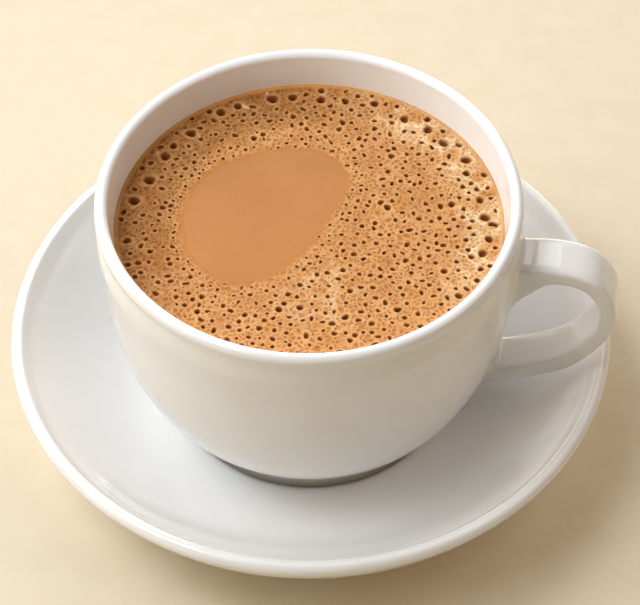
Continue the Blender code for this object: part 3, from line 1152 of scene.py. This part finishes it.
@dataclass
class Froth:
    """Skin of froth with its burst bubbles. Sizes in millimetres, headings in degrees.

    Headings start at the handle. A side of the wall is the heading of its middle, and how far it
    reaches both ways. A wave is its height, and its rate for each millimetre.
    """

    cup: Cup
    patch: BarePatch
    seed: int = 41
    top_depth: float = 7.7
    thickness: float = 1.3
    creep: float = 0.4
    creep_width: float = 1.8
    patch_drop: float = 0.3
    drop_width: float = 6.5
    overlap: float = 0.08

    # Bubbles: how many of each kind, their radii, and how they keep apart.
    bubble_count: int = 560
    fine_count: int = 950
    fine_tries: int = 60
    typical: float = 0.60
    burst_radii: Span = (0.38, 1.2)
    burst_depths: Span = (0.55, 0.8)
    burst_gaps: Span = (0.2, 0.75)
    near_shore: Span = (0.5, 7.0)
    fine_radii: Span = (0.26, 0.36)
    row: tuple[float, float, int] = (2.0, 178.0, 20)
    row_jitter: float = 0.32
    row_radii: Span = (0.95, 1.45)
    row_insets: Span = (3.0, 5.4)
    row_depth: float = 0.85
    row_dark_from: float = 70.0
    row_dark: Span = (0.85, 1.0)
    row_pale: Span = (0.1, 0.6)

    # Sides of the wall: the wet side, darkened partly with painted shade; the creamy side; the side with
    # painted glints; and the streak of cream.
    streak: tuple[Vector, float] = field(default_factory=lambda: (Vector((5.0, -21.0)), 13.0))
    wet_and_shaded_side: Span = (153.0, 92.0)
    creamy_side: Span = (26.0, 66.0)
    glint_side: Span = (132.0, 60.0)
    side_fade: float = 7.0

    # Relief: where the skin starts, its waves, the pits' slope, and their lips and rings.
    calm: Span = (0.2, 0.9)
    skin: Span = (0.1, 2.0)
    ragged: Span = (0.7, 0.9)
    swells: tuple[Span, Span] = ((0.10, 0.16), (0.04, 0.7))
    pit_slope: Span = (0.30, 1.0)
    deepest: float = 0.95
    core_slope: Span = (0.34, 1.32)
    lip: tuple[float, float, float] = (0.10, 1.2, 0.4)
    ring_inside: Span = (0.80, 1.12)
    ring_outside: tuple[float, float, float] = (1.2, 1.7, 2.0)

    # Mesh: rings about each bubble, and points along both edges and between.
    rings: tuple[float, ...] = (1.9, 1.45, 1.18, 1.0, 0.84, 0.62, 0.32)
    fine_rings: tuple[float, ...] = (1.6, 1.0, 0.5)
    bubble_sides: int = 12
    fine_sides: int = 7
    wall_points: int = 230
    wall_insets: tuple[float, ...] = (0.3, 0.7, 1.2, 1.8, 2.6)
    shore_points: int = 170
    shore_rows: tuple[float, ...] = (-0.2, 0.15, 0.5, 1.0)
    fill_points: int = 5200
    spacing: float = 0.07
    cell: float = 3.4

    def __post_init__(self) -> None:
        """Set the froth's own radius, and start its seeded draw."""
        self.wall = self.cup.wall_radius(self.top_depth) + self.overlap
        self.draw = random.Random(self.seed)
        self.bubbles: list[Bubble] = []
        self.grid: dict[tuple[int, int], list[Bubble]] = {}

    def by_wall(self, place: Vector, side: Span, inner: float = 32.0) -> float:
        """How much a place belongs to one side's stretch of the wall.

        Args:
            place: The place.
            side: The side.
            inner: Radius where the stretch fades out.

        Returns:
            A share from 0 to 1.
        """
        turn = math.remainder(math.degrees(math.atan2(place.y, place.x)) - side[0], 360)
        outwards = smooth(inner, inner + self.side_fade, place.length)
        return outwards * (1 - smooth(0.45, 1.0, abs(turn) / side[1]))

    def square(self, place: Vector) -> tuple[int, int]:
        """The grid's square that a place lies in."""
        return (math.floor(place.x / self.cell), math.floor(place.y / self.cell))

    def near(self, place: Vector) -> list[Bubble]:
        """Bubbles close to a place."""
        column, row = self.square(place)
        found = []
        for across in (-1, 0, 1):
            for along in (-1, 0, 1):
                found.extend(self.grid.get((column + across, row + along), ()))
        return found

    def keep(self, bubble: Bubble) -> None:
        """Add a bubble."""
        self.grid.setdefault(self.square(bubble.place), []).append(bubble)
        self.bubbles.append(bubble)

    def at(self, heading: float, distance: float) -> Vector:
        """Place at a heading in degrees and a distance from the middle."""
        return polar(math.radians(heading), distance)

    def any_place(self) -> Vector:
        """A random place on the skin."""
        distance = math.sqrt(self.draw.random()) * (self.wall - 1.1)
        return self.at(self.draw.uniform(-180, 180), distance)

    def crowded(self, place: Vector, radius: float, gap: float) -> bool:
        """Whether another bubble lies closer than the gap."""
        return any(
            (other.place - place).length < other.radius + radius + gap for other in self.near(place)
        )

    def scatter_row(self) -> None:
        """Draw the large bubbles that lie in a row by the wall on the far side."""
        start, end, count = self.row
        for index in range(count):
            along = index + self.draw.uniform(-self.row_jitter, self.row_jitter)
            heading = start + (end - start) * along / (count - 1)
            radius = self.draw.uniform(*self.row_radii)
            place = self.at(heading, self.wall - self.draw.uniform(*self.row_insets))
            tones = self.row_dark if heading > self.row_dark_from else self.row_pale
            tone = self.draw.uniform(*tones)
            self.keep(Bubble(
                place, radius, self.draw.uniform(0.0, 0.16), self.draw.uniform(0, math.pi),
                self.draw.uniform(0, 0.08), tone, self.row_depth,
            ))

    def scatter_burst(self) -> None:
        """Draw the burst bubbles that cover the froth: smaller by the shore, coarser by the wall."""
        smallest, largest = self.burst_radii
        tight, loose = self.burst_gaps
        while len(self.bubbles) < self.bubble_count:
            place = self.any_place()
            shore = self.patch.beyond(place)
            inland = smooth(*self.near_shore, shore)
            coarse = max(self.by_wall(place, self.creamy_side), self.by_wall(place, self.wet_and_shaded_side, 36.0))
            radius = self.typical * math.exp(self.draw.gauss(0.0, 0.17)) * (1 + 0.25 * coarse)
            radius *= 0.66 + 0.34 * inland
            radius = min(largest, max(smallest, radius))
            if shore < radius + 0.8 or place.length > self.wall - 0.6 - radius:
                continue
            gap = (tight if self.draw.random() < 0.1 else loose) * (0.75 + 0.25 * inland)
            if self.crowded(place, radius, gap):
                continue
            oval = self.draw.random() >= 0.85
            stretch = self.draw.uniform(0.2, 0.36) if oval else abs(self.draw.gauss(0.0, 0.12))
            self.keep(Bubble(
                place, radius, stretch, self.draw.uniform(0, math.pi), self.draw.uniform(0, 0.1),
                self.draw.random(), min(0.8, radius * self.draw.uniform(*self.burst_depths)),
            ))

    def scatter_fine(self) -> None:
        """Draw the faint dimples between the burst bubbles."""
        made = 0
        for _ in range(self.fine_tries * self.fine_count):
            if made == self.fine_count:
                break
            place = self.any_place()
            radius = self.draw.uniform(*self.fine_radii)
            if self.patch.beyond(place) < radius + 0.4 or self.crowded(place, radius, 0.16):
                continue
            self.keep(Bubble(
                place, radius, self.draw.uniform(0, 0.25), self.draw.uniform(0, math.pi), 0.0,
                self.draw.random(), radius * 0.8,
            ))
            made += 1

    def samples(self) -> list[Vector]:
        """Places where the skin's height is read.

        Returns:
            The points on the wall, those on the patch's edge, the bubbles' rings, and a loose fill.
        """
        whole = 2 * math.pi
        places = [polar(whole * step / self.wall_points, self.wall) for step in range(self.wall_points)]
        places.extend(self.patch.around(self.shore_points, -0.5))
        taken: set[tuple[int, int]] = set()

        def offer(place: Vector) -> None:
            """Keep a place that is on the skin and not on top of another."""
            key = (round(place.x / self.spacing), round(place.y / self.spacing))
            inside = place.length < self.wall - 0.12 and self.patch.beyond(place) > -0.3
            if key not in taken and inside:
                taken.add(key)
                places.append(place)

        for bubble in self.bubbles:
            sides = self.fine_sides if bubble.fine else self.bubble_sides
            offer(bubble.place.copy())
            for number, ring in enumerate(self.fine_rings if bubble.fine else self.rings):
                for side in range(sides):
                    angle = whole * (side + 0.5 * (number % 2)) / sides + bubble.lean
                    offer(bubble.place + polar(angle, bubble.edge(angle) * ring))
        for inset in self.wall_insets:
            for step in range(self.wall_points):
                angle = whole * (step + 0.5) / self.wall_points + inset
                offer(polar(angle, self.wall - inset))
        for grow in self.shore_rows:
            for place in self.patch.around(self.shore_points, grow):
                offer(place)
        for _ in range(self.fill_points):
            place = self.any_place()
            if all(other.share(place) > 1.5 for other in self.near(place)):
                offer(place)
        return places

    def read(self, place: Vector) -> tuple[float, tuple[float, ...], tuple[float, ...]]:
        """Height over the froth's level and the marks at a place.

        Args:
            place: Where to read, in millimetres.

        Returns:
            The height in millimetres; core, halo, cream with painted glints, and spread; wetness with
            painted shade, and creaminess, up to 1.
        """
        spot = Vector((place.x, place.y, 0.0))
        shore = self.patch.beyond(place)
        inset = self.wall - place.length
        calm = smooth(*self.calm, inset)
        ragged = self.ragged[0] * noise.noise(spot * self.ragged[1])
        spread = smooth(*self.skin, shore + ragged) * calm
        rise = self.creep * (1 - smooth(0.0, self.creep_width, inset))
        drop = (self.patch_drop - 0.01) * (1 - smooth(0.0, self.drop_width, shore))
        drop += 0.03 if shore < 0 else 0.0
        swell = sum(height * noise.noise(spot * rate) for height, rate in self.swells)

        pit, core, halo, lift = 0.0, 0.0, 0.0, 0.0
        lip_height, lip_at, lip_width = self.lip
        ring_end, fine_end, burst_end = self.ring_outside
        for bubble in self.near(place):
            share = bubble.share(place)
            if share > 2.6:
                continue
            pit = max(pit, bubble.depth * (1 - smooth(*self.pit_slope, share)))
            bulge = max(0.0, 1 - ((share - lip_at) / lip_width) ** 2)
            lift = max(lift, lip_height * bubble.radius * bulge)
            core = max(core, bubble.darkness * (1 - smooth(*self.core_slope, share)))
            faded = smooth(ring_end, fine_end if bubble.fine else burst_end, share)
            ring = smooth(*self.ring_inside, share) * (1 - faded)
            halo = max(halo, ring * bubble.clearness)

        # The wet side by the far wall: wetter froth, and painted shade from the wall.
        wet_and_shade = self.by_wall(place, self.wet_and_shaded_side, 28.5)
        creamy = self.by_wall(place, self.creamy_side, 31.0)
        cluster = noise.noise(spot * 0.23 + Vector((3.7, 1.9, 0.0)))
        streak = 1 - smooth(0.3, 1.0, (place - self.streak[0]).length / self.streak[1])
        # Glints by the far wall: painted highlight, laid into the cream mark.
        glint = 0.7 * smooth(0.40, 0.56, noise.noise(spot * 0.45))
        glint *= self.by_wall(place, self.glint_side, 34.0)
        cream_and_glint = smooth(-0.30, 0.10, cluster) * creamy
        cream_and_glint = cream_and_glint + 0.6 * smooth(-0.15, 0.2, cluster) * streak + glint
        height = rise + (swell + lift * calm) * spread - min(pit, self.deepest) * spread - drop
        halo *= spread * (1 - core) * (1 - 0.2 * wet_and_shade)
        marks = (core * spread, halo, min(1.0, cream_and_glint) * spread, spread)
        return height, marks, (wet_and_shade * spread, creamy, 0.0, 1.0)

    def mesh(self) -> bpy.types.Mesh:
        """Make the skin's mesh, closed below and along both edges, with its marks."""
        places = self.samples()
        walls, shores = self.wall_points, self.shore_points
        rim = walls + shores
        wall_loop = [(step, (step + 1) % walls) for step in range(walls)]
        shore_loop = [(walls + step, walls + (step + 1) % shores) for step in range(shores)]
        loops = wall_loop + shore_loop
        top = self.cup.rim_height - self.top_depth
        skin_places, _, skin_faces, *_ = delaunay_2d_cdt(places, loops, [], 0, 1e-5)
        base_places, _, base_faces, *_ = delaunay_2d_cdt(places[:rim], loops, [], 0, 1e-5)

        vertices = []
        marks: dict[str, list[float]] = {"bubble": [], "side": []}
        for place in skin_places:
            height, bubble, side = self.read(place)
            vertices.append((place.x * MM, place.y * MM, (top + height) * MM))
            marks["bubble"].extend(bubble)
            marks["side"].extend(side)
        base_start = len(vertices)
        for place in base_places:
            under = self.thickness if self.patch.beyond(place) > 1 else self.patch_drop + 0.2
            vertices.append((place.x * MM, place.y * MM, (top - under) * MM))
            for values in marks.values():
                values.extend((0.0, 0.0, 0.0, 1.0))

        def on_skin(face: Sequence[int], where: Sequence[Vector]) -> bool:
            """Whether a triangle lies outside the bare patch."""
            middle = sum((where[corner] for corner in face), Vector((0.0, 0.0))) / len(face)
            inner = all(walls <= corner < rim for corner in face)
            return self.patch.beyond(middle) > (-0.5 if inner else -0.8)

        faces = [tuple(face) for face in skin_faces if on_skin(face, skin_places)]
        faces += [
            tuple(base_start + corner for corner in reversed(face))
            for face in base_faces if on_skin(face, base_places)
        ]
        faces += [(end, start, base_start + start, base_start + end) for start, end in wall_loop]
        faces += [(start, end, base_start + end, base_start + start) for start, end in shore_loop]

        mesh = bpy.data.meshes.new("froth_skin")
        mesh.from_pydata(vertices, [], faces)
        for name, values in marks.items():
            mesh.attributes.new(name, "FLOAT_COLOR", "POINT").data.foreach_set("color", values)
        mesh.validate()
        return mesh

    def build(self) -> None:
        """Model and dress the froth."""
        self.scatter_row()
        self.scatter_burst()
        self.scatter_fine()
        froth = bpy.data.objects.new("froth_skin", self.mesh())
        bpy.context.scene.collection.objects.link(froth)
        bpy.ops.object.select_all(action="DESELECT")
        bpy.context.view_layer.objects.active = froth
        froth.select_set(True)
        bpy.ops.object.mode_set(mode="EDIT")
        bpy.ops.mesh.select_all(action="SELECT")
        bpy.ops.mesh.delete_loose()
        bpy.ops.mesh.select_all(action="SELECT")
        bpy.ops.mesh.quads_convert_to_tris()
        bpy.ops.mesh.normals_make_consistent(inside=False)
        bpy.ops.object.mode_set(mode="OBJECT")
        bpy.ops.object.shade_smooth()
        dress(froth, FrothFinish(wall=self.wall * MM).make("froth_painted_shade_and_glints"), Slot.FROTH, "froth")


# Studio


@dataclass
class SoftLight:
    """A soft rectangular light, aimed at the cup.

    Attributes:
        name: Its name.
        azimuth: Direction from the cup, in degrees from the +X side.
        elevation: Angle above the table, in degrees.
        distance: How far off it hangs, in metres.
        size: Width and height, in metres.
        power: Its power in watts.
        colour: Its colour.
        target: Where it is aimed, in metres.
    """

    name: str
    azimuth: float
    elevation: float
    distance: float
    size: Point
    power: float
    colour: Colour
    target: Vector = field(default_factory=lambda: Vector((0.0, 0.0, 0.04)))

    def hang(self) -> None:
        """Put the light in the scene."""
        turn, rise = math.radians(self.azimuth), math.radians(self.elevation)
        level = polar(turn, math.cos(rise))
        away = Vector((level.x, level.y, math.sin(rise)))
        light = bpy.data.lights.new(self.name, "AREA")
        light.shape = "RECTANGLE"
        light.size, light.size_y = self.size
        light.energy = self.power
        light.color = self.colour
        holder = bpy.data.objects.new(self.name, light)
        bpy.context.scene.collection.objects.link(holder)
        holder.location = self.target + away * self.distance
        holder.rotation_euler = away.to_track_quat("Z", "Y").to_euler()


@dataclass
class Viewpoint:
    """Where the cup is looked at from.

    Attributes:
        place: The camera's place in metres.
        heading: Direction it looks in, in degrees clockwise from +Y.
        pitch: Angle that it looks down by, in degrees.
        roll: Turn about its own axis, in degrees.
        lens: Focal length in millimetres.
        sensor: Width of the sensor in millimetres.
    """

    place: tuple[float, float, float] = (0.0591, -0.3352, 0.4343)
    heading: float = -9.608
    pitch: float = 49.58
    roll: float = -0.499
    lens: float = 123.75
    sensor: float = 36.0

    def set_up(self) -> None:
        """Make the scene's camera."""
        turn, down, lean = (math.radians(angle) for angle in (self.heading, self.pitch, self.roll))
        level_ahead = (math.sin(turn) * math.cos(down), math.cos(turn) * math.cos(down))
        ahead = Vector((*level_ahead, -math.sin(down)))
        level = ahead.cross(Vector((0, 0, 1))).normalized()
        upright = level.cross(ahead)
        right = level * math.cos(lean) + upright * math.sin(lean)
        above = upright * math.cos(lean) - level * math.sin(lean)
        turn_matrix = Matrix((right, above, -ahead)).transposed()
        camera = bpy.data.cameras.new("table_camera")
        camera.sensor_width = self.sensor
        camera.lens = self.lens
        camera.clip_start = 0.01
        holder = bpy.data.objects.new("table_camera", camera)
        bpy.context.scene.collection.objects.link(holder)
        holder.matrix_world = Matrix.Translation(self.place) @ turn_matrix.to_4x4()
        bpy.context.scene.camera = holder


@dataclass
class Studio:
    """Plain table, soft light and the camera."""

    table_size: float = 3.0
    black: Colour = (0.0, 0.0, 0.0)
    lights: tuple[SoftLight, ...] = (
        SoftLight("window", 180, 62, 1.3, (0.8, 0.6), 3.7, (0.91, 0.94, 1.0)),
        SoftLight("window_front", 200, 62, 1.3, (0.8, 0.6), 5.8, (1.0, 0.99, 0.98)),
        SoftLight("key", 180, 45, 0.95, (0.3, 0.3), 1.5, (0.81, 0.92, 1.0)),
        SoftLight("side_back", 135, 35, 1.3, (0.95, 0.7), 6.5, (0.91, 0.94, 1.0)),
        SoftLight("side_front", 200, 35, 1.3, (0.95, 0.7), 3.7, (0.97, 1.0, 0.96)),
        SoftLight("high_right", 0, 62, 1.3, (0.8, 0.6), 2.3, (0.97, 0.96, 0.96)),
        SoftLight("fill_right", 0, 35, 1.3, (0.95, 0.7), 2.9, (1.0, 0.74, 0.46)),
        SoftLight("high_back", 90, 48, 1.2, (0.35, 0.25), 0.7, (0.84, 0.93, 1.0)),
        SoftLight("low_back", 90, 12, 1.3, (0.95, 0.35), 9.4, (1.0, 0.84, 0.67)),
        SoftLight("low_front", 225, 12, 1.3, (0.95, 0.35), 2.8, (1.0, 0.76, 0.45)),
    )

    def build(self) -> None:
        """Lay the table, hang the lights and set up the camera."""
        bpy.ops.object.select_all(action="DESELECT")
        bpy.ops.mesh.primitive_plane_add(size=self.table_size, location=(0, 0, 0))
        table = bpy.context.object
        table.name = "table"
        table.data.materials.append(TableFinish().make("plain_table"))
        for light in self.lights:
            light.hang()
        world = bpy.data.worlds.new("dark_room")
        world.use_nodes = True
        backdrop = world.node_tree.nodes["Background"]
        backdrop.inputs["Color"].default_value = (*self.black, 1.0)
        backdrop.inputs["Strength"].default_value = 0.0
        bpy.context.scene.world = world
        bpy.context.scene.view_settings.view_transform = "Standard"
        Viewpoint().set_up()
        log.info("studio: %d lights", len(self.lights))


def main() -> None:
    """Build the pieces in order."""
    logging.basicConfig(level=logging.INFO, format="%(name)s: %(message)s")
    cup = Cup()
    patch = BarePatch()
    Saucer().build()
    cup.build()
    Tea(cup, patch).build()
    Froth(cup, patch).build()
    Studio().build()


if __name__ == "__main__":
    main()
